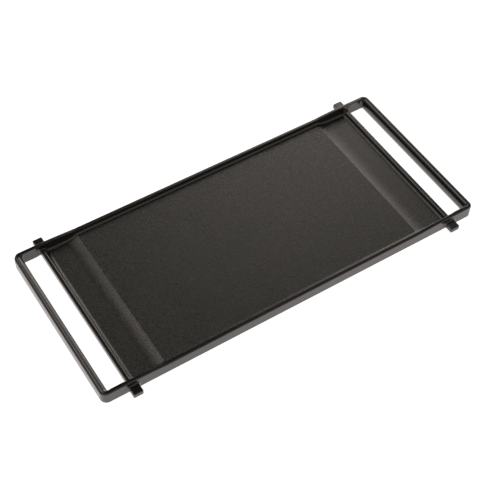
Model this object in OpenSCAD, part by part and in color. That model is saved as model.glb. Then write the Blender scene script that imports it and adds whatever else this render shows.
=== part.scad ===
// Two-burner griddle: a shallow tray with sunken ends, carried in a bar frame
// that turns round into a loop handle at each end. Millimetres, +Z up,
// X along the griddle, origin in the middle of the plane it stands on.

/* [Overall] */
// Length over both grips
overall_l = 524.5; // [470:0.5:620]
// Width over the outer faces of the rails
frame_w = 230; // [180:1:300]
// Height of the rails between the ramps
rail_h = 16; // [15:0.5:24]
// Height of the handles, which the rails climb to beside the wells
handle_h = 17.9; // [15:0.1:26]

/* [Rails] */
// Thickness of a rail
rail_t = 4.6; // [4.2:0.1:7]
// Rounding of the rails' and grips' outer top edge
rim_round = 2; // [0.8:0.1:2.2]
// Rounding of the rails' other edges
edge_round = 0.8; // [0.3:0.1:1]

/* [Crossbars] */
// Thickness of a crossbar at its top
crossbar_t = 5.4; // [4.4:0.1:8]
// Height of a crossbar's underside
crossbar_z = 3; // [2.4:0.1:3.2]
// Height of a crossbar from its underside to its top
crossbar_h = 8.6; // [8.2:0.1:11]
// Rounding of a crossbar's top edge over the finger gap
crossbar_round = 1.2; // [0.4:0.1:1.4]
// Rounding of its top edge over the well
crossbar_in_round = 1.8; // [0.4:0.1:2]
// How far a crossbar's inner face leans back from upright, in degrees
crossbar_lean = 12; // [0:1:16]

/* [Handles] */
// Width of a grip bar
grip_w = 9.5; // [8:0.1:14]
// Thickness of a handle's legs
leg_t = 5.3; // [4.4:0.1:7]
// Clear gap between a grip and its crossbar
finger_gap = 24; // [20:0.1:40]
// Rounding of a grip's top edge over the finger gap
grip_top_round = 5.2; // [1:0.1:5.8]
// Rounding of a grip's lower edge over the finger gap
grip_low_round = 4.8; // [1:0.1:5.8]
// Radius of a loop's outer corners, seen from above
corner_r = 8.5; // [5:0.5:14]
// Radius of a loop's inner corners, seen from above
inner_corner_r = 3; // [1:0.5:6]

/* [Cooking plate] */
// Thickness of the plate
plate_t = 3.2; // [2.8:0.1:3.4]
// Height of the main cooking floor
floor_z = 9.9; // [9.5:0.1:11]
// Depth of the end wells below the main floor
well_drop = 3.5; // [2:0.1:3.6]
// Length of the ramp down into a well
ramp_l = 18; // [10:0.5:40]
// Length of a well's flat floor
well_l = 26.4; // [12:0.1:60]
// Radius of the cove where the plate meets the walls
cove_r = 2.8; // [1:0.1:3.4]

/* [Lugs] */
// Width of a lug along the rail
lug_w = 12.6; // [8:0.1:16]
// How far a lug reaches past its crossbar's outer face
lug_past = 1.5; // [0:0.1:2.5]
// How far a lug stands out from the rail
lug_reach = 12.5; // [6:0.5:20]
// Height of a lug's underside
lug_z = 4; // [2:0.1:4.4]
// Height of a lug from its underside to its top
lug_h = 7.2; // [5.6:0.1:9]
// Rounding of a lug's edges
lug_round = 1.6; // [0.4:0.1:2]

/* [Joints] */
// Clearance round every pin and tongue
fit = 0.1; // [0.05:0.01:0.2]
// Radius of the pin on each lug
pin_r = 1.5; // [1:0.1:1.6]
// How deep a lug's pin enters the crossbar
pin_grip = 8; // [4:0.5:20]
// Thickness of the tongue on each handle leg
tongue_t = 1.6; // [1.2:0.1:1.8]
// Height of the tongue on each handle leg
tongue_h = 8; // [6:0.5:9]
// How far a handle's tongue enters its rail
tongue_l = 9; // [7:0.5:20]
// Thickness of the tongue round the plate
plate_tongue_t = 1.2; // [0.8:0.1:1.4]
// How far the plate's tongue enters rails and crossbars
plate_tongue_l = 1.5; // [0.8:0.1:1.6]
// How far the plate's end tongues stop short of the lugs' pins
tongue_to_pin = 3; // [1:0.5:10]

/* [Hidden] */

iron = [0.21, 0.2, 0.19];
arc_steps = 6;
past = 1;                                   // how far a cut or a root runs past a face
tuck = 0.2;                                 // how far one cove's end is tucked into the next
cove_sink = 0.05;                           // how deep a cove's thin edge is let into the floor
pin_facets = 48;
corner_facets = 64;
ramp_facets = 96;

half_l = overall_l / 2;
half_w = frame_w / 2;
wall_y = half_w - rail_t;                   // inner face of a rail
leg_y = half_w - leg_t;                     // inner face of a handle's leg
grip_in = half_l - grip_w;                  // a grip's face over the finger gap
crossbar_out = grip_in - finger_gap;        // a crossbar's outer face
crossbar_in = crossbar_out - crossbar_t;    // its inner face, at the top
crossbar_top = crossbar_z + crossbar_h;
well_z = floor_z - well_drop;
lean_z = well_z + cove_r * (1 - sin(crossbar_lean));              // top of the end cove
plate_end = crossbar_in - (crossbar_top - lean_z) * tan(crossbar_lean);  // end of the plate
well_x = plate_end - well_l;                // foot of a ramp
ramp_x = well_x - ramp_l;                   // top of a ramp
ramp_r = (pow(ramp_l, 2) + pow(well_drop, 2)) / (2 * well_drop);  // hollow ramp, level at its foot
ramp_angle = asin(ramp_l / ramp_r);         // how far a ramp turns, from its foot to its top
ramp_tuck = asin(cove_sink / ramp_r);       // how far its cove turns on past each end
lug_mid = crossbar_out + lug_past - lug_w / 2;
pin_x = crossbar_out - crossbar_t / 2;
pin_z = lug_z + lug_h / 2;
pin_end = wall_y - pin_grip;                // tip of a lug's pin inside a crossbar

// Points of a quarter round about a centre, between two angles
function arc(x, z, r, from, to) =
    [for (i = [0:arc_steps]) let (a = from + (to - from) * i / arc_steps)
        [x + r * cos(a), z + r * sin(a)]];

// Draws its children here and mirrored to the other end or side
module both(normal) {
    children();
    mirror(normal) children();
}

// Runs a section drawn in X and Z along Y, centred
module along_y(length) {
    translate([0, length / 2, 0]) rotate([90, 0, 0]) linear_extrude(length) children();
}

// Runs a section drawn in Y and Z along X
module along_x(from, to) {
    translate([from, 0, 0]) rotate([90, 0, 90]) linear_extrude(to - from) children();
}

// ---- cooking plate ----

// Side outline of the plate's one half: main floor, hollow ramp and well
module plate_outline() {
    ramp = arc(well_x, well_z + ramp_r, ramp_r, 270 - ramp_angle, 270);
    floor_line = concat([[-past, floor_z]], ramp, [[plate_end, well_z]]);
    under_line = [for (p = floor_line) [p.x, p.y - plate_t]];
    polygon(concat(floor_line, [for (i = [len(under_line) - 1:-1:0]) under_line[i]]));
}

// Hollow round in the corner between a wall at zero, leaning back, and a floor at zero
function cove(r, lean) =
    concat([[0, -past]], arc(-r * cos(lean), r - cove_sink, r, -lean, -90), [[-r * cos(lean), -past]]);

// Coves along one rail, from the middle of the plate to one end.
// The one round the ramp is a little tighter, and its ends are tucked into the other two.
module side_coves() {
    along_x(0, ramp_x + tuck) translate([wall_y, floor_z]) polygon(cove(cove_r, 0));
    translate([well_x, wall_y, well_z + ramp_r]) rotate([90, 0, 0])
        rotate([0, 0, 270 - ramp_angle - ramp_tuck])
            rotate_extrude(angle = ramp_angle + 2 * ramp_tuck, $fn = ramp_facets)
                polygon([for (p = cove(cove_r - tuck, 0)) [ramp_r - p.y, -p.x]]);
    along_x(well_x - tuck, plate_end) translate([wall_y, well_z]) polygon(cove(cove_r, 0));
}

// Tongue along the main floor's edges and the wells' ends, or its groove when grown
module plate_tongue(grow) {
    thick = plate_tongue_t + 2 * grow;
    reach = plate_tongue_l + grow;
    down = (plate_t + thick) / 2;
    side_l = 2 * (ramp_x + grow);
    end_w = 2 * (pin_end - tongue_to_pin + grow);
    translate([-side_l / 2, -wall_y - reach, floor_z - down])
        cube([side_l, 2 * (wall_y + reach), thick]);
    both([1, 0, 0]) translate([well_x, -end_w / 2, well_z - down])
        cube([plate_end - well_x + reach, end_w, thick]);
}

module cooking_plate() {
    color(iron) {
        both([1, 0, 0]) along_y(2 * wall_y) plate_outline();
        both([1, 0, 0]) both([0, 1, 0]) side_coves();
        both([1, 0, 0]) along_y(2 * wall_y) translate([plate_end, well_z])
            polygon(cove(cove_r, crossbar_lean));
        plate_tongue(0);
    }
}

// ---- rails ----

// A rail's section, with its outer face at half_w
module rail_section() {
    polygon(concat(
        arc(wall_y + edge_round, edge_round, edge_round, 180, 270),
        arc(half_w - edge_round, edge_round, edge_round, 270, 360),
        arc(half_w - rim_round, rail_h - rim_round, rim_round, 0, 90),
        arc(wall_y + edge_round, rail_h - edge_round, edge_round, 90, 180)));
}

// Tongue on a handle's leg, or its mortise in the rail when grown
module leg_tongue(grow, root) {
    translate([crossbar_out - tongue_l - grow, half_w - (rail_t + tongue_t) / 2 - grow,
               pin_z - tongue_h / 2 - grow])
        cube([tongue_l + grow + root, tongue_t + 2 * grow, tongue_h + 2 * grow]);
}

// A lug's pin, rooted in its lug, or the bore that it passes through when grown
module pin(grow) {
    translate([pin_x, half_w + past, pin_z]) rotate([90, 0, 0])
        cylinder(r = pin_r + grow, h = past + rail_t + pin_grip + grow, $fn = pin_facets);
}

// A rail: a level bar, with a tilted bar in each end that climbs to the handles' height
module rail_blank() {
    climb = atan((handle_h - rail_h) / (crossbar_out - ramp_x));
    along_x(-crossbar_out, crossbar_out) rail_section();
    both([1, 0, 0]) intersection() {
        translate([ramp_x, 0, rail_h]) rotate([0, -climb, 0]) translate([0, 0, -rail_h])
            along_x(-past, crossbar_out - ramp_x + rail_h) rail_section();
        translate([0, wall_y - past, rail_h / 2]) cube([crossbar_out, rail_t + 2 * past, rail_h]);
    }
}

module rail() {
    color(iron) difference() {
        rail_blank();
        both([1, 0, 0]) leg_tongue(fit, past);
        both([1, 0, 0]) pin(fit);
        plate_tongue(fit);
    }
}

// ---- crossbars ----

// A crossbar's section, its inner face upright behind the cove and leaning above it
module crossbar_section() {
    r = crossbar_in_round;
    polygon(concat(
        [[plate_end, lean_z], [plate_end, crossbar_z]],
        arc(crossbar_out - edge_round, crossbar_z + edge_round, edge_round, 270, 360),
        arc(crossbar_out - crossbar_round, crossbar_top - crossbar_round, crossbar_round, 0, 90),
        arc(crossbar_in + r / cos(crossbar_lean) - r * tan(crossbar_lean), crossbar_top - r, r,
            90, 180 - crossbar_lean)));
}

module crossbar() {
    color(iron) difference() {
        along_y(2 * wall_y) crossbar_section();
        both([0, 1, 0]) pin(fit);
        plate_tongue(fit);
    }
}

// ---- handles ----

// Outer edge of a loop: a section from zero out to its outer face
module loop_edge(out) {
    polygon(concat([[0, 0]],
        arc(out - edge_round, edge_round, edge_round, 270, 360),
        arc(out - rim_round, handle_h - rim_round, rim_round, 0, 90), [[0, handle_h]]));
}

// The whole end of the frame before its opening is cut
module loop_blank() {
    corner_x = half_l - corner_r;
    corner_y = half_w - corner_r;
    both([0, 1, 0]) {
        along_x(crossbar_out, corner_x) loop_edge(half_w);
        translate([corner_x, corner_y, 0])
            rotate_extrude(angle = 90, $fn = corner_facets) loop_edge(corner_r);
    }
    along_y(2 * corner_y) translate([corner_x, 0]) loop_edge(corner_r);
}

// The finger opening, seen from above, with rounded corners at the grip
module opening_outline() {
    x = grip_in - inner_corner_r;
    y = leg_y - inner_corner_r;
    polygon(concat([[crossbar_out - past, -leg_y]],
        arc(x, -y, inner_corner_r, 270, 360), arc(x, y, inner_corner_r, 0, 90),
        [[crossbar_out - past, leg_y]]));
}

// What rounding takes off a grip's edge: the corner at zero, outside a quarter round
module grip_edge_cut(r) {
    polygon(concat([[-past, -past], [-past, r]], arc(r, r, r, 180, 270), [[r, -past]]));
}

module handle() {
    color(iron) {
        difference() {
            loop_blank();
            translate([0, 0, -past]) linear_extrude(handle_h + 2 * past) opening_outline();
            along_y(2 * (leg_y - inner_corner_r)) {
                translate([grip_in, 0]) grip_edge_cut(grip_low_round);
                translate([grip_in, handle_h]) mirror([0, 1]) grip_edge_cut(grip_top_round);
            }
        }
        both([0, 1, 0]) difference() {
            leg_tongue(0, past);
            pin(fit);
        }
    }
}

// ---- lugs ----

// A rectangle with rounded corners, from its low corner to its high one
module soft_rectangle(low, high) {
    polygon(concat(
        arc(low.x + lug_round, low.y + lug_round, lug_round, 180, 270),
        arc(high.x - lug_round, low.y + lug_round, lug_round, 270, 360),
        arc(high.x - lug_round, high.y - lug_round, lug_round, 0, 90),
        arc(low.x + lug_round, high.y - lug_round, lug_round, 90, 180)));
}

module lug() {
    low = [lug_mid - lug_w / 2, half_w, lug_z];
    high = [lug_mid + lug_w / 2, half_w + lug_reach, lug_z + lug_h];
    root_y = low.y - lug_round;     // the block's rounded back end lies behind the rail's face
    color(iron) {
        intersection() {
            along_y(2 * high.y) soft_rectangle([low.x, low.z], [high.x, high.z]);
            linear_extrude(rail_h) soft_rectangle([low.x, root_y], [high.x, high.y]);
            along_x(low.x, high.x) soft_rectangle([root_y, low.z], [high.y, high.z]);
            translate([0, half_w, 0]) cube([half_l, lug_reach, rail_h]);
        }
        pin(0);
    }
}

cooking_plate();
mirror([0, 1, 0]) rail();  // near_rail
rail();  // far_rail
mirror([1, 0, 0]) crossbar();  // left_crossbar
crossbar();  // right_crossbar
mirror([1, 0, 0]) handle();  // left_handle
handle();  // right_handle
rotate([0, 0, 180]) lug();  // near_left_lug
mirror([0, 1, 0]) lug();  // near_right_lug
mirror([1, 0, 0]) lug();  // far_left_lug
lug();  // far_right_lug
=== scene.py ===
from math import asin, cos, pi, radians, sin, sqrt, tan

import bmesh
import bpy
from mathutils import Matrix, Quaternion, Vector


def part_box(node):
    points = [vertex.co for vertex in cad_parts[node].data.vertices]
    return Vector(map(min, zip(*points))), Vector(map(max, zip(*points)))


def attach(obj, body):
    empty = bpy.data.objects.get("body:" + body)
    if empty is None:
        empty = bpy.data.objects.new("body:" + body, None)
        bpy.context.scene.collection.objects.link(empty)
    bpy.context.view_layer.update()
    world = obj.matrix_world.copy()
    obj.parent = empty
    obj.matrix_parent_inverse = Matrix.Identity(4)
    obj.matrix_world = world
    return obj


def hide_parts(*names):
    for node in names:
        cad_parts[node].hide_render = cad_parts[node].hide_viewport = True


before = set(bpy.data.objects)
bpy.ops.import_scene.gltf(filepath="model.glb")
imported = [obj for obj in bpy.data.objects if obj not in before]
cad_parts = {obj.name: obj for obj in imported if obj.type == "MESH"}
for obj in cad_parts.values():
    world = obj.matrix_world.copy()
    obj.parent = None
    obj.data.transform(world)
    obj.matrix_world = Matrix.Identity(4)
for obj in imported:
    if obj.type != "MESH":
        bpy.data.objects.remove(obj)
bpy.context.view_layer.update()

# A cast griddle: a shallow tray with a sunken well at each end, in a bar frame
# that turns round into a loop handle at each end. Metres, in the CAD's frame.

MM = 0.001

# ---- sizes that the frame gives ----

rail_low, rail_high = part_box("far_rail")
RAIL_END = rail_high.x                          # where rails stop and handles start
HALF_W = rail_high.y                            # a rail's outer face
WALL_Y = rail_low.y                             # a rail's inner face
HALF_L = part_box("right_handle")[1].x            # a grip's outer face
HANDLE_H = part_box("right_handle")[1].z
bar_low, bar_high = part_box("right_crossbar")
lug_low, lug_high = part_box("far_right_lug")     # the lug and its pin
PLATE_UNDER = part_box("cooking_plate")[0].z      # underside of the wells

# ---- fineness of the meshes ----

STEPS = 7                                       # faces round each rounded edge
CORNER_STEPS = 16                               # round each corner of a loop
CLIMB_STEPS = 10                                # along a rail's climb beside a well
LEG_STEPS = 6                                   # along the stretch where a leg swells
CREST_STEPS = 3                                 # along each half of a ramp's crest
RAMP_STEPS = 12                                 # along the rest of a ramp
SHARP_ANGLE = radians(40)                       # edges sharper than this stay sharp

# ---- rails and handles ----

RAIL_H = 16 * MM                                # height of the rails along the main floor
RIM_ROUND = 2.0 * MM                            # outer top edge of rails and legs
EDGE_ROUND = 0.8 * MM                           # their other edges
WALL_LEAN = tan(radians(12))                    # draft of a rail's inner face
WAIST_Z = 5.0 * MM                              # height where a rail is thickest
LEG_Y = HALF_W - 5.3 * MM                       # inner face of a handle's leg
LEG_EASE = 6.0 * MM                             # length over which a leg swells to its width
GRIP_W = 10.3 * MM
GRIP_RIM_ROUND = 4.0 * MM                       # a grip's outer top edge
GRIP_TOP_ROUND = 6.0 * MM                       # how far across its side over the finger gap
GRIP_LOW_ROUND = 4.4 * MM                       # is rounded, above and below mid-height
LOOP_CORNER = 8.5 * MM                          # a loop's outer corners, seen from above
GAP_CORNER = 3.0 * MM                           # a loop's inner corners, seen from above

# ---- crossbars ----

BAR_IN = RAIL_END - 5.4 * MM                    # a crossbar's inner face, at its top
BAR_LEAN = tan(radians(19))                     # draft of that face
BAR_ROUND_OUT = 1.2 * MM                        # a crossbar's top edge over the finger gap
BAR_ROUND_IN = 1.8 * MM                         # its top edge over the well
BAR_FILLET_GAP = 3.0 * MM                       # fillets where a crossbar meets a rail
BAR_FILLET_TRAY = 5.8 * MM
BAR_FILLET_TOP = 2.0 * MM
BAR_FILLET_LOW = 1.0 * MM
TRAY_SIDE = WALL_Y - 1.2 * MM                   # a rail's inner face at a crossbar's height

# ---- cooking plate ----

FLOOR_Z = 9.9 * MM                              # main cooking floor
WELL_DROP = 3.5 * MM
WELL_Z = FLOOR_Z - WELL_DROP
RAMP_TOP = 178.5 * MM                           # where the main floor breaks off
RAMP_FOOT = 196.6 * MM                          # where the ramp runs out in the well
RAMP_L = RAMP_FOOT - RAMP_TOP
CREST_ROUND = 1.2 * MM                          # half length of the rounded crest
COVE_R = 5.5 * MM                               # hollow corner between floor and walls
COVE_TURN = radians(75)                         # how far a cove turns up from the floor
COVE_W = COVE_R * sin(COVE_TURN)
UNDER_FILLET = 1.6 * MM                         # hollow corner below the plate
MESH_GAP = 0.0001 * MM                          # points nearer than this are one
RING_DIGITS = 7                                 # rings are rounded to it, so that none nearly coincide

# ---- lugs ----

LUG_ROUND = 1.2 * MM                            # a lug's edges
LUG_FILLET = 2.6 * MM                           # length of the flare where a lug meets the rail
LUG_FLARE_SIDE = 4.0 * MM                       # how far the flare spreads along the rail
LUG_FLARE_UP = 2.8 * MM
LUG_FLARE_DOWN = 1.5 * MM
LUG_SINK = 0.5 * MM                             # how deep a lug starts inside the rail


# ---- mesh helpers ----

def quarter(radii):
    """A rounded edge, from the flat to the face: (depth behind the face, distance from the flat)."""
    across, up = radii
    turns = [pi / 2 * k / STEPS for k in range(STEPS + 1)]
    return [(across * (1 - sin(a)), up * (1 - cos(a))) for a in turns]


def flare(distance, radius):
    """How far a fillet of this radius stands out, at a distance from the wall that it runs into."""
    if distance >= radius:
        return 0.0
    return radius - sqrt(radius ** 2 - (radius - max(distance, 0.0)) ** 2)


def fillet_places(fillet):
    """Distances from a wall at which a fillet needs a section."""
    return [fillet * (1 - sin(pi / 2 * k / STEPS)) for k in range(STEPS + 1)]


def both_ways(places):
    """The same places on the negative side too, from one end to the other."""
    return [-place for place in reversed(places)] + places


def ease(t):
    """Goes softly from 0 to 1."""
    t = min(max(t, 0.0), 1.0)
    return t * t * (3 - 2 * t)


def upright(z):
    """The swell of a face without draft."""
    return 0.0


def section(outer, inner, rounds, bottom, top, swell=upright, waist=()):
    """Points round a bar. Each face is (a point on it, the direction into the bar), seen from above.

    The inner face stands further out by swell(height), and has extra points at the heights in waist.
    """
    low_out, top_out, top_in, low_in = rounds
    ring = [(outer, d, bottom + h) for d, h in quarter(low_out)]
    ring += [(outer, d, top - h) for d, h in reversed(quarter(top_out))]
    face = [(d, top - h) for d, h in quarter(top_in)] + [(0, z) for z in waist]
    face += [(d, bottom + h) for d, h in reversed(quarter(low_in))]
    ring += [(inner, d - swell(z), z) for d, z in face]
    return [(*(point + into * depth), z) for (point, into), depth, z in ring]


def loft(sections):
    """A closed solid through a row of sections, made by bridging each to the next."""
    bm = bmesh.new()
    loops = []
    for points in sections:
        verts = [bm.verts.new(p) for p in points]
        loops.append([bm.edges.new(pair) for pair in zip(verts, verts[1:] + verts[:1])])
    for one, other in zip(loops, loops[1:]):
        bmesh.ops.bridge_loops(bm, edges=one + other)
    for end in (loops[0], loops[-1]):
        bmesh.ops.contextual_create(bm, geom=end)
    return bm


def mirrored(bm, x_side, y_side):
    """Turns a piece made for the far right corner to another side."""
    bmesh.ops.scale(bm, vec=(x_side, y_side, 1), verts=bm.verts)
    return bm


def piece(name, bm, material):
    """Finishes a mesh as the named piece, which stands for the CAD node of that name."""
    bmesh.ops.recalc_face_normals(bm, faces=bm.faces)
    mesh = bpy.data.meshes.new(name + "_cast")
    bm.to_mesh(mesh)
    bm.free()
    mesh.shade_smooth()
    mesh.set_sharp_from_angle(angle=SHARP_ANGLE)
    mesh.materials.append(material)
    obj = bpy.data.objects.new(name + "_cast", mesh)
    bpy.context.scene.collection.objects.link(obj)
    flats = obj.modifiers.new("flat_faces", "WEIGHTED_NORMAL")
    flats.keep_sharp = True
    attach(obj, "root")
    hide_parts(name)


# ---- rails and handles ----

# Rounding of the four edges, from the low outer one round over the top: (across, up)
LEG_ROUNDS = [(r, r) for r in (EDGE_ROUND, RIM_ROUND, EDGE_ROUND, EDGE_ROUND)]
GRIP_ROUNDS = [(EDGE_ROUND, EDGE_ROUND), (GRIP_RIM_ROUND, GRIP_RIM_ROUND),
               (GRIP_TOP_ROUND, HANDLE_H / 2), (GRIP_LOW_ROUND, HANDLE_H / 2)]


def rail_top(x):
    """Height of a rail: level along the main floor, and a soft climb to the handles beside each well."""
    climb = max(abs(x) - RAMP_TOP, 0.0) / (RAIL_END - RAMP_TOP)
    return RAIL_H + (HANDLE_H - RAIL_H) * sin(pi / 2 * climb)


def leg_section(x, top, inner, swell=upright, waist=()):
    """Section of a rail, or of a handle's leg in line with it."""
    return section((Vector((x, HALF_W)), Vector((0, -1))), (Vector((x, inner)), Vector((0, 1))),
                   LEG_ROUNDS, 0, top, swell, waist)


def rail_section(x):
    """A rail's inner face leans out down to its waist, which is behind the plate's edge."""
    top = rail_top(x)

    def draft(z):
        return WALL_LEAN * min(top - z, (top - WAIST_Z) * z / WAIST_Z)

    return leg_section(x, top, WALL_Y, draft, [WAIST_Z])


def rail():
    climb = [RAMP_TOP + (RAIL_END - RAMP_TOP) * k / CLIMB_STEPS for k in range(CLIMB_STEPS + 1)]
    return loft([rail_section(x) for x in both_ways(climb)])


def swelling_leg(step):
    """Section of a leg, which swells from the rail's width at its root."""
    inner = WALL_Y + (LEG_Y - WALL_Y) * ease(step / LEG_STEPS)
    return leg_section(RAIL_END + LEG_EASE * step / LEG_STEPS, HANDLE_H, inner)


def corner_section(turn):
    """Section of a loop at its far corner, between the leg (0) and the grip (1)."""
    out = Vector((sin(turn * pi / 2), cos(turn * pi / 2)))
    outer_centre = Vector((HALF_L - LOOP_CORNER, HALF_W - LOOP_CORNER))
    inner_centre = Vector((HALF_L - GRIP_W - GAP_CORNER, LEG_Y - GAP_CORNER))
    rounds = [Vector(leg).lerp(Vector(grip), ease(turn)) for leg, grip in zip(LEG_ROUNDS, GRIP_ROUNDS)]
    return section((outer_centre + out * LOOP_CORNER, -out), (inner_centre + out * GAP_CORNER, out),
                   rounds, 0, HANDLE_H)


def handle():
    """Leg, corner, grip, corner, leg."""
    far_half = [swelling_leg(step) for step in range(LEG_STEPS + 1)]
    far_half += [corner_section(k / CORNER_STEPS) for k in range(CORNER_STEPS + 1)]
    near_half = [[(x, -y, z) for x, y, z in points] for points in reversed(far_half)]
    return loft(far_half + near_half)


# ---- crossbars ----

BAR_ROUNDS = [(r, r) for r in (EDGE_ROUND, BAR_ROUND_OUT, BAR_ROUND_IN, EDGE_ROUND)]


def bar_draft(z):
    return BAR_LEAN * (bar_high.z - z)


def crossbar_section(y):
    """Section of a crossbar, with fillets that grow as it nears a leg or a rail."""
    gap = LEG_Y - abs(y)
    tray = TRAY_SIDE - abs(y)
    outer = RAIL_END + flare(gap, BAR_FILLET_GAP)
    inner = BAR_IN - flare(tray, BAR_FILLET_TRAY)
    return section((Vector((outer, y)), Vector((-1, 0))), (Vector((inner, y)), Vector((1, 0))), BAR_ROUNDS,
                   bar_low.z - flare(tray, BAR_FILLET_LOW), bar_high.z + flare(tray, BAR_FILLET_TOP),
                   bar_draft)


def crossbar():
    gaps = {LEG_Y - d for d in fillet_places(BAR_FILLET_GAP)}
    trays = {TRAY_SIDE - d for r in (BAR_FILLET_TRAY, BAR_FILLET_TOP) for d in fillet_places(r)}
    return loft([crossbar_section(y) for y in both_ways(sorted(gaps | trays | {WALL_Y}))])


# ---- lugs ----

def lug_section(y):
    """Section of a lug: flared at its root on the rail, and rounded off at its tip."""
    root = flare(y - HALF_W, LUG_FILLET) / LUG_FILLET
    tip = flare(lug_high.y - y, LUG_ROUND)
    side = LUG_FLARE_SIDE * root - tip
    edge = LUG_ROUND * (1 + root)
    return section((Vector((lug_high.x + side, y)), Vector((-1, 0))),
                   (Vector((lug_low.x - side, y)), Vector((1, 0))), [(edge, edge)] * 4,
                   lug_low.z - LUG_FLARE_DOWN * root + tip, lug_high.z + LUG_FLARE_UP * root - tip)


def lug():
    roots = [HALF_W + d for d in reversed(fillet_places(LUG_FILLET))]
    tips = [lug_high.y - d for d in fillet_places(LUG_ROUND)]
    return loft([lug_section(y) for y in [HALF_W - LUG_SINK] + roots + tips])


# ---- cooking plate ----

def floor_height(x):
    """Height of the cooking floor: flat, a rounded crest, a hollow ramp, and a flat well."""
    past = abs(x) - RAMP_TOP
    if past >= RAMP_L:
        return WELL_Z
    if past <= -CREST_ROUND:
        return FLOOR_Z
    if past >= CREST_ROUND:
        return FLOOR_Z - WELL_DROP * (1 - (1 - past / RAMP_L) ** 2)
    end = WELL_DROP * (1 - (1 - CREST_ROUND / RAMP_L) ** 2)
    return FLOOR_Z - end * ((past + CREST_ROUND) / (2 * CREST_ROUND)) ** 2


def wall_foot(face, top, lean, floor):
    """Where the cove's upper edge meets a leaning wall, over a floor at this height."""
    return face - (top - floor - COVE_R * (1 - cos(COVE_TURN))) * lean


EDGE_X = wall_foot(BAR_IN, bar_high.z, BAR_LEAN, WELL_Z)        # edges of the cooking surface
EDGE_Y = wall_foot(WALL_Y, RAIL_H, WALL_LEAN, FLOOR_Z)


def edge_distance(x, y):
    """Distance of a point of the tray from its edge, whose corners are rounded."""
    dx = EDGE_X - abs(x)
    dy = EDGE_Y - abs(y)
    if dx < BAR_FILLET_TRAY and dy < BAR_FILLET_TRAY:
        across = sqrt((BAR_FILLET_TRAY - dx) ** 2 + (BAR_FILLET_TRAY - dy) ** 2)
        return max(0.0, BAR_FILLET_TRAY - across)
    return max(0.0, min(dx, dy))


def cove_height(distance):
    """Height of the cove over the floor."""
    if distance >= COVE_W:
        return 0.0
    return COVE_R * (1 - cos(asin(min(1, (COVE_W - distance) / COVE_R))))


def tray_outline():
    """One flat face with rounded corners."""
    bm = bmesh.new()
    corners = [(EDGE_X, EDGE_Y), (-EDGE_X, EDGE_Y), (-EDGE_X, -EDGE_Y), (EDGE_X, -EDGE_Y)]
    verts = [bm.verts.new((x, y, 0)) for x, y in corners]
    bm.faces.new(verts)
    bmesh.ops.bevel(bm, geom=verts, affect="VERTICES", offset=BAR_FILLET_TRAY, offset_type="OFFSET",
                    segments=STEPS + 1, profile=0.5, material=-1)
    return bm


def inset_coves(bm):
    """Rings inside the outline, where the coves above and the fillets below need them."""
    cove = [COVE_W - COVE_R * sin(COVE_TURN * k / STEPS) for k in range(STEPS + 1)]
    rings = sorted({round(d, RING_DIGITS) for d in cove + fillet_places(UNDER_FILLET)})
    middle = bm.faces[:]
    for near, far in zip(rings, rings[1:]):
        bmesh.ops.inset_region(bm, faces=middle, thickness=far - near, use_even_offset=True,
                               use_boundary=True)


def cut_ramps(bm):
    """Cuts across the tray, where crests, ramps and the ends' coves need them."""
    cuts = [RAMP_TOP + CREST_ROUND * k / CREST_STEPS for k in range(-CREST_STEPS, CREST_STEPS + 1)]
    past_crest = RAMP_TOP + CREST_ROUND
    cuts += [past_crest + (RAMP_L - CREST_ROUND) * k / RAMP_STEPS for k in range(1, RAMP_STEPS + 1)]
    cuts += [EDGE_X - COVE_W]
    for place in cuts + [-p for p in cuts]:
        bmesh.ops.bisect_plane(bm, geom=bm.verts[:] + bm.edges[:] + bm.faces[:], dist=MESH_GAP,
                               plane_co=(place, 0, 0), plane_no=(1, 0, 0))


def plate():
    """The flat tray is doubled for its underside. Both are raised to height and joined at the edge."""
    bm = tray_outline()
    inset_coves(bm)
    cut_ramps(bm)
    under = bmesh.ops.duplicate(bm, geom=bm.verts[:] + bm.edges[:] + bm.faces[:])["geom"]
    under_verts = {v for v in under if isinstance(v, bmesh.types.BMVert)}
    thickness = WELL_Z - PLATE_UNDER
    for v in bm.verts:
        distance = edge_distance(v.co.x, v.co.y)
        floor = floor_height(v.co.x)
        if v in under_verts:
            v.co.z = floor - thickness - flare(distance, UNDER_FILLET)
        else:
            v.co.z = floor + cove_height(distance)
        v.co.y *= wall_foot(WALL_Y, rail_top(v.co.x), WALL_LEAN, floor) / EDGE_Y
    bmesh.ops.bridge_loops(bm, edges=[e for e in bm.edges if e.is_boundary])
    return bm


# ---- node helpers ----

def node(tree, kind, *inputs, **settings):
    """Adds a node with its settings, and links or sets its inputs in their order."""
    new = tree.nodes.new("ShaderNode" + kind)
    for key, value in settings.items():
        setattr(new, key, value)
    for socket, value in zip(new.inputs, inputs):
        feed(tree, socket, value)
    return new


def feed(tree, socket, value):
    """Links an output to a socket, or sets the socket to a constant."""
    if isinstance(value, bpy.types.NodeSocket):
        tree.links.new(value, socket)
    elif value is not None:
        socket.default_value = value


def maths(tree, operation, *inputs):
    return node(tree, "Math", *inputs, operation=operation).outputs[0]


def fit(tree, value, low, high, to_low, to_high):
    """Brings a value from one range to another, softly at both ends."""
    return node(tree, "MapRange", value, low, high, to_low, to_high,
                interpolation_type="SMOOTHSTEP").outputs[0]


def between(tree, value, low, high, soft):
    """1 inside a range and 0 outside, with soft ends."""
    return maths(tree, "MULTIPLY", fit(tree, value, low - soft, low + soft, 0, 1),
                 fit(tree, value, high - soft, high + soft, 1, 0))


def blend(tree, share, one, other):
    """A colour between two, each given as red, green and blue."""
    mix = node(tree, "Mix", data_type="RGBA")
    feed(tree, mix.inputs["Factor"], share)
    feed(tree, mix.inputs["A"], (*one, 1))
    feed(tree, mix.inputs["B"], (*other, 1))
    return mix.outputs["Result"]


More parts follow.
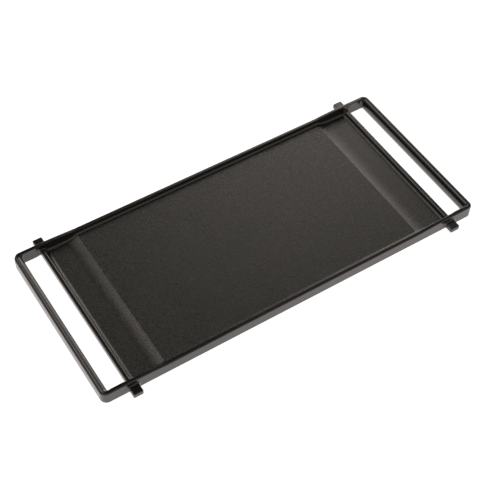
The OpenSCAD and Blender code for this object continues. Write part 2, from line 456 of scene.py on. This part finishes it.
def noise(tree, place, size, detail=2.0):
    return node(tree, "TexNoise", place, None, 1 / size, detail).outputs["Fac"]


# ---- cast iron ----

IRON_IOR = 1.65                                 # how strongly the iron's skin mirrors
CLOUD_SIZE = 40 * MM
CLOUD_SHARE = 0.15                              # how much of the tone is clouds, the rest is flecks
COVE_GRAIN = 0.3                                # share of the grain that is left at the walls
COVE_GRAIN_FROM = 2 * MM                        # distances from the edge over which it comes in
COVE_GRAIN_TO = 6 * MM


def grain_share(tree, place):
    """1 on the open floor, less in the coves."""
    x, y, _ = node(tree, "SeparateXYZ", place).outputs
    from_end = maths(tree, "SUBTRACT", EDGE_X, maths(tree, "ABSOLUTE", x))
    from_side = maths(tree, "SUBTRACT", EDGE_Y, maths(tree, "ABSOLUTE", y))
    return fit(tree, maths(tree, "MINIMUM", from_end, from_side),
               COVE_GRAIN_FROM, COVE_GRAIN_TO, COVE_GRAIN, 1.0)


def iron_tone(tree, place, size, dark, light):
    """Fine flecks of a darker and a lighter black, with faint clouds in them."""
    clouds = maths(tree, "MULTIPLY", noise(tree, place, CLOUD_SIZE), CLOUD_SHARE)
    flecks = maths(tree, "MULTIPLY", noise(tree, place, size, 3.0), 1 - CLOUD_SHARE)
    return blend(tree, fit(tree, maths(tree, "ADD", clouds, flecks), 0.35, 0.65, 0, 1), dark, light)


def pebbles(tree, place, size, depth):
    """Height of a skin of small rounded pebbles."""
    pebble = node(tree, "TexVoronoi", place, None, 1 / size, feature="SMOOTH_F1")
    feed(tree, pebble.inputs["Smoothness"], 0.6)
    skin = maths(tree, "ADD", pebble.outputs["Distance"], noise(tree, place, 0.7 * size, 3.0))
    return maths(tree, "MULTIPLY", skin, depth)


def black_iron(name, tones, rough, uneven, size, depth, tray=False):
    """Satin black cast iron, with pebbles of this size and depth, and uneven in its roughness."""
    material = bpy.data.materials.new(name)
    material.use_nodes = True
    tree = material.node_tree
    shader = tree.nodes["Principled BSDF"]
    place = node(tree, "TexCoord").outputs["Object"]
    feed(tree, shader.inputs["Base Color"], iron_tone(tree, place, size, *tones))
    feed(tree, shader.inputs["IOR"], IRON_IOR)
    feed(tree, shader.inputs["Roughness"],
         fit(tree, noise(tree, place, size, 1.0), 0.3, 0.7, rough - uneven, rough + uneven))
    height = pebbles(tree, place, size, depth)
    if tray:
        height = maths(tree, "MULTIPLY", height, grain_share(tree, place))
    bump = node(tree, "Bump")
    feed(tree, bump.inputs["Distance"], 1.0)
    feed(tree, bump.inputs["Height"], height)
    feed(tree, shader.inputs["Normal"], bump.outputs["Normal"])
    return material


# ---- studio ----

BACK = radians(13)                              # how far the room's back is turned to the right
WHITE = (1, 1, 1)
LIGHT_TINT = (1, 0.93, 0.86)                    # the lights' colour
FLOOR_TINT = (1, 0.945, 0.955)                  # the floor's colour in the iron
FLOOR_PAINT = (0.8, 0.8, 0.8, 1)
FLOOR_GLOW_SEEN = 0.92                          # keeps the floor white in camera view, with no shadow
FLOOR_GLOW_IN_IRON = 0.98                       # and where the iron mirrors it
FLOOR_HALF = 4
FLOOR_DROP = 0.05 * MM                          # how far the floor lies below the rails

# The room's soft lights, which camera rays don't see: (lowest, highest climb), (left, right),
# softness of the two, strength. Climb runs from the back of the room (0) overhead (90) to its
# front (180), in degrees.
LIGHTS = (
    ((-30, 35), (15, 50), (5, 5), 2.5),         # window at the back right
    ((20, 50), (10, 25), (10, 5), 2.5),         # pale curtain beside and above it
    ((55, 75), (-40, -10), (5, 5), 2.0),        # soft box up at the left
    ((110, 150), (-20, 80), (15, 5), 0.8),      # wide strip in front
    ((30, 210), (-65, -20), (15, 10), 0.4),     # wash over the left side
    ((0, 180), (65, 90), (10, 5), 0.5),         # fill at the right end
)


def room_light(tree):
    """How bright the room is in each direction: dark, with a few soft lights."""
    direction = node(tree, "TexCoord").outputs["Generated"]
    up = node(tree, "SeparateXYZ", direction).outputs["Z"]
    back = node(tree, "VectorMath", direction, (sin(BACK), cos(BACK), 0), operation="DOT_PRODUCT")
    right = node(tree, "VectorMath", direction, (cos(BACK), -sin(BACK), 0), operation="DOT_PRODUCT")
    climb = maths(tree, "DEGREES", maths(tree, "ARCTAN2", up, back.outputs["Value"]))
    aside = maths(tree, "DEGREES", maths(tree, "ARCSINE", right.outputs["Value"]))
    light = 0.0
    for climbs, sides, (soft_climb, soft_side), strength in LIGHTS:
        box = maths(tree, "MULTIPLY", between(tree, climb, *climbs, soft_climb),
                    between(tree, aside, *sides, soft_side))
        light = maths(tree, "MULTIPLY_ADD", box, strength, light)
    return light


def studio():
    """A room that is white in camera view, and that lights the griddle and the floor softly."""
    world = bpy.data.worlds.new("studio")
    bpy.context.scene.world = world
    world.use_nodes = True
    tree = world.node_tree
    seen = node(tree, "LightPath").outputs["Is Camera Ray"]
    background = tree.nodes["Background"]
    feed(tree, background.inputs["Strength"], maths(tree, "MAXIMUM", seen, room_light(tree)))
    feed(tree, background.inputs["Color"], blend(tree, seen, LIGHT_TINT, WHITE))


def floor_material():
    """White floor, for the camera and in reflections. Its glow in camera view washes the shadow out."""
    material = bpy.data.materials.new("white_floor")
    material.use_nodes = True
    tree = material.node_tree
    paint = node(tree, "BsdfDiffuse", FLOOR_PAINT).outputs["BSDF"]
    rays = node(tree, "LightPath").outputs
    strength = maths(tree, "ADD", maths(tree, "MULTIPLY", rays["Is Camera Ray"], FLOOR_GLOW_SEEN),
                     maths(tree, "MULTIPLY", rays["Is Glossy Ray"], FLOOR_GLOW_IN_IRON))
    tint = blend(tree, rays["Is Camera Ray"], FLOOR_TINT, WHITE)
    light = node(tree, "Emission", tint, strength).outputs["Emission"]
    both = node(tree, "AddShader", paint, light).outputs["Shader"]
    feed(tree, tree.nodes["Material Output"].inputs["Surface"], both)
    return material


def floor():
    bm = bmesh.new()
    bmesh.ops.create_grid(bm, x_segments=1, y_segments=1, size=FLOOR_HALF)
    mesh = bpy.data.meshes.new("studio_floor")
    bm.to_mesh(mesh)
    bm.free()
    mesh.materials.append(floor_material())
    obj = bpy.data.objects.new("studio_floor", mesh)
    bpy.context.scene.collection.objects.link(obj)
    obj.location.z = -FLOOR_DROP


# ---- camera ----

AZIMUTH = radians(-33.447)                      # to the left of straight in front
ELEVATION = radians(52.230)
ROLL = radians(1.464)
DISTANCE = 1.3943                               # from the point that the camera looks at
TARGET = Vector((-0.0173, -0.0109, 0))
LENS = 81.9                                     # millimetres, as is the sensor
SENSOR = 36
SHIFT_X = -0.001
SHIFT_Y = 0.001


def camera():
    back = Vector((sin(AZIMUTH) * cos(ELEVATION), -cos(AZIMUTH) * cos(ELEVATION), sin(ELEVATION)))
    data = bpy.data.cameras.new("camera")
    data.sensor_width = SENSOR
    data.lens = LENS
    data.shift_x = SHIFT_X
    data.shift_y = SHIFT_Y
    obj = bpy.data.objects.new("camera", data)
    bpy.context.scene.collection.objects.link(obj)
    obj.location = TARGET + back * DISTANCE
    obj.rotation_mode = "QUATERNION"
    obj.rotation_quaternion = (-back).to_track_quat("-Z", "Y") @ Quaternion((0, 0, 1), ROLL)
    bpy.context.scene.camera = obj


# ---- the scene ----

cooking_iron = black_iron("cooking_iron", ((0.004, 0.0037, 0.0030), (0.018, 0.0166, 0.0135)),
                          rough=0.34, uneven=0.08, size=1.3 * MM, depth=0.12 * MM, tray=True)
frame_iron = black_iron("frame_iron", ((0.009, 0.0084, 0.0072), (0.012, 0.0111, 0.0095)),
                        rough=0.21, uneven=0.03, size=1.1 * MM, depth=0.02 * MM)

camera()
studio()
floor()

piece("cooking_plate", plate(), cooking_iron)
for side, y_side in (("near", -1), ("far", 1)):
    piece(side + "_rail", mirrored(rail(), 1, y_side), frame_iron)
for end, x_side in (("left", -1), ("right", 1)):
    piece(end + "_crossbar", mirrored(crossbar(), x_side, 1), frame_iron)
    piece(end + "_handle", mirrored(handle(), x_side, 1), frame_iron)
    for side, y_side in (("near", -1), ("far", 1)):
        piece(side + "_" + end + "_lug", mirrored(lug(), x_side, y_side), frame_iron)

bpy.context.scene.view_settings.view_transform = "Standard"
